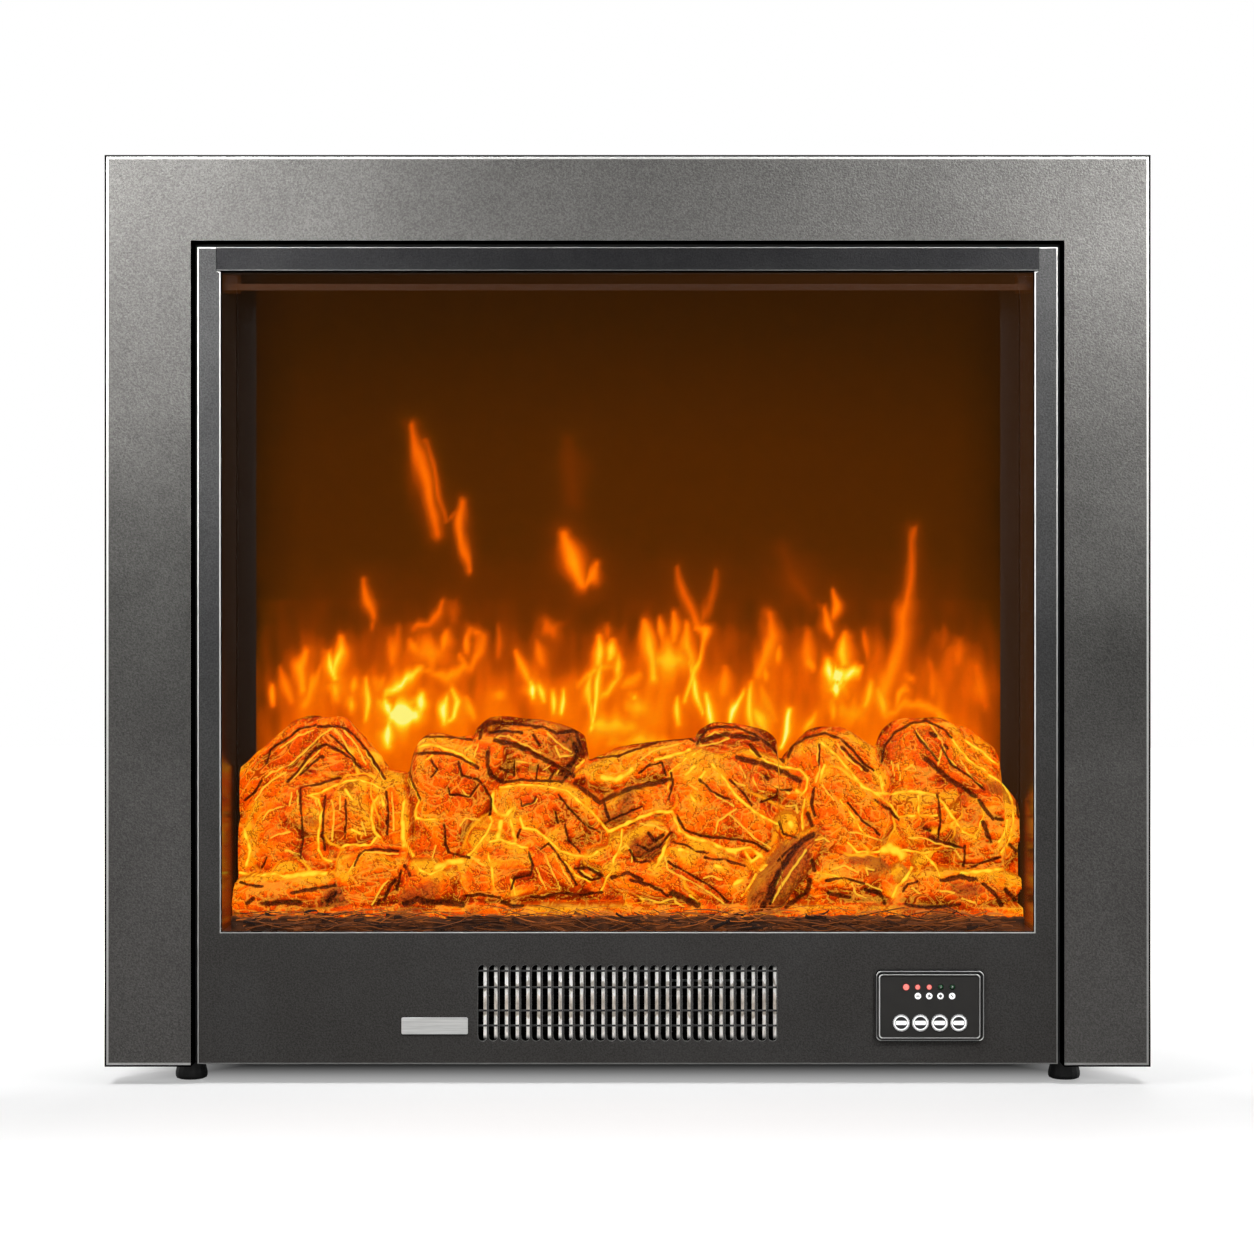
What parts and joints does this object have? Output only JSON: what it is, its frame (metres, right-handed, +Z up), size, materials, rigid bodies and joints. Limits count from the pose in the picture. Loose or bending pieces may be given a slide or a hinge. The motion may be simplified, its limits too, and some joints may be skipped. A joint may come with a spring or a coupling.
{
  "type": "fireplace insert",
  "caption": "Electric fireplace insert: framed steel casing with a glass window, moulded glowing logs, a projected flame, a fan heater outlet and push-button controls.",
  "frame": {"origin": "middle of the bounding box's footprint, on the floor", "axes": "+X to the viewer's right along the width, -Y out of the front towards the viewer, +Z up"},
  "size_m": [0.764, 0.19, 0.6797],
  "materials": {
    "pewter_paint": "metallic pewter powder coat with a fine grain",
    "panel_paint": "dark grey metallic powder coat",
    "casing_paint": "matt black paint",
    "guard_paint": "matt black wire coating",
    "liner_enamel": "glossy black",
    "zinc_steel": "galvanised sheet, satin",
    "mirror_foil": "bright foil",
    "louvre_aluminium": "bright, satin edges",
    "wheel_aluminium": "satin",
    "badge_aluminium": "brushed, light grey",
    "motor_can": "zinc-plated can",
    "window_glass": "clear, polished",
    "smoked_acrylic": "smoked, polished",
    "flame_screen": "translucent diffusing sheet lit from behind",
    "log_resin": "translucent moulded resin lit from inside",
    "ember_fibre": "dark dry fibres and ash flakes",
    "circuit_board": "green solder mask",
    "white_nylon": "natural nylon",
    "heater_ceramic": "matt ceramic and resistance rods",
    "black_plastic": "matt black",
    "bezel_gloss": "glossy black",
    "button_plastic": "black cap with a printed white ring and bar",
    "foot_rubber": "matt black"
  },
  "bodies": {
    "casing": {"surround_trim": "pewter_paint", "surround_bracket_left": "zinc_steel", "surround_bracket_right": "zinc_steel", "bracket_screw_left_low": "zinc_steel", "bracket_screw_left_high": "zinc_steel", "bracket_screw_right_low": "zinc_steel", "bracket_screw_right_high": "zinc_steel", "casing_shell": "casing_paint", "rear_cover": "zinc_steel", "cover_screw_left_low": "zinc_steel", "cover_screw_right_low": "zinc_steel", "cover_screw_left_high": "zinc_steel", "cover_screw_right_high": "zinc_steel", "cord_gland": "black_plastic", "foot_front_left": "foot_rubber", "foot_front_right": "foot_rubber", "foot_rear_left": "foot_rubber", "foot_rear_right": "foot_rubber", "front_panel": "panel_paint", "top_rail": "panel_paint", "badge_plate": "badge_aluminium", "window_glass": "window_glass", "glass_retainer_left": "zinc_steel", "glass_retainer_right": "zinc_steel", "hearth_shelf": "zinc_steel", "side_liner_left": "liner_enamel", "side_liner_right": "liner_enamel", "ceiling_liner": "liner_enamel", "canopy_strip": "smoked_acrylic", "canopy_bracket_left": "casing_paint", "canopy_bracket_right": "casing_paint", "flame_screen": "flame_screen", "screen_post_left": "liner_enamel", "screen_post_right": "liner_enamel", "log_bed": "log_resin", "ember_light_board": "circuit_board", "ember_strip": "ember_fibre", "flame_mask": "zinc_steel", "spindle_bush": "white_nylon", "spindle_motor": "motor_can", "spindle_plate_left": "zinc_steel", "spindle_plate_right": "zinc_steel", "flame_light_board": "circuit_board", "flame_reflector": "mirror_foil", "finger_guard": "guard_paint", "outlet_louvre": "louvre_aluminium", "heater_element": "heater_ceramic", "blower_housing": "zinc_steel", "blower_bush": "white_nylon", "blower_motor": "motor_can", "thermal_cutout": "black_plastic", "control_bezel": "bezel_gloss", "control_board": "circuit_board", "power_board": "circuit_board"},
    "spindle": {"flame_spindle": "mirror_foil"},
    "fan": {"blower_wheel": "wheel_aluminium"},
    "button_1": {"push_button_1": "button_plastic"},
    "button_2": {"push_button_2": "button_plastic"},
    "button_3": {"push_button_3": "button_plastic"},
    "button_4": {"push_button_4": "button_plastic"}
  },
  "joints": [
    {"name": "spindle_spin", "type": "hinge", "parent": "casing", "child": "spindle", "pos_m": [0, 0.0443, 0.1629], "axis": [1, 0, 0], "continuous": true},
    {"name": "fan_spin", "type": "hinge", "parent": "casing", "child": "fan", "pos_m": [0, -0.01, 0.0567], "axis": [1, 0, 0], "continuous": true},
    {"name": "button_1_press", "type": "slide", "parent": "casing", "child": "button_1", "axis": [0, 1, 0], "range_m": [0, 0.001], "stiffness_N_per_m": 400, "springref_m": -0.0008},
    {"name": "button_2_press", "type": "slide", "parent": "casing", "child": "button_2", "axis": [0, 1, 0], "range_m": [0, 0.001], "stiffness_N_per_m": 400, "springref_m": -0.0008},
    {"name": "button_3_press", "type": "slide", "parent": "casing", "child": "button_3", "axis": [0, 1, 0], "range_m": [0, 0.001], "stiffness_N_per_m": 400, "springref_m": -0.0008},
    {"name": "button_4_press", "type": "slide", "parent": "casing", "child": "button_4", "axis": [0, 1, 0], "range_m": [0, 0.001], "stiffness_N_per_m": 400, "springref_m": -0.0008}
  ]
}
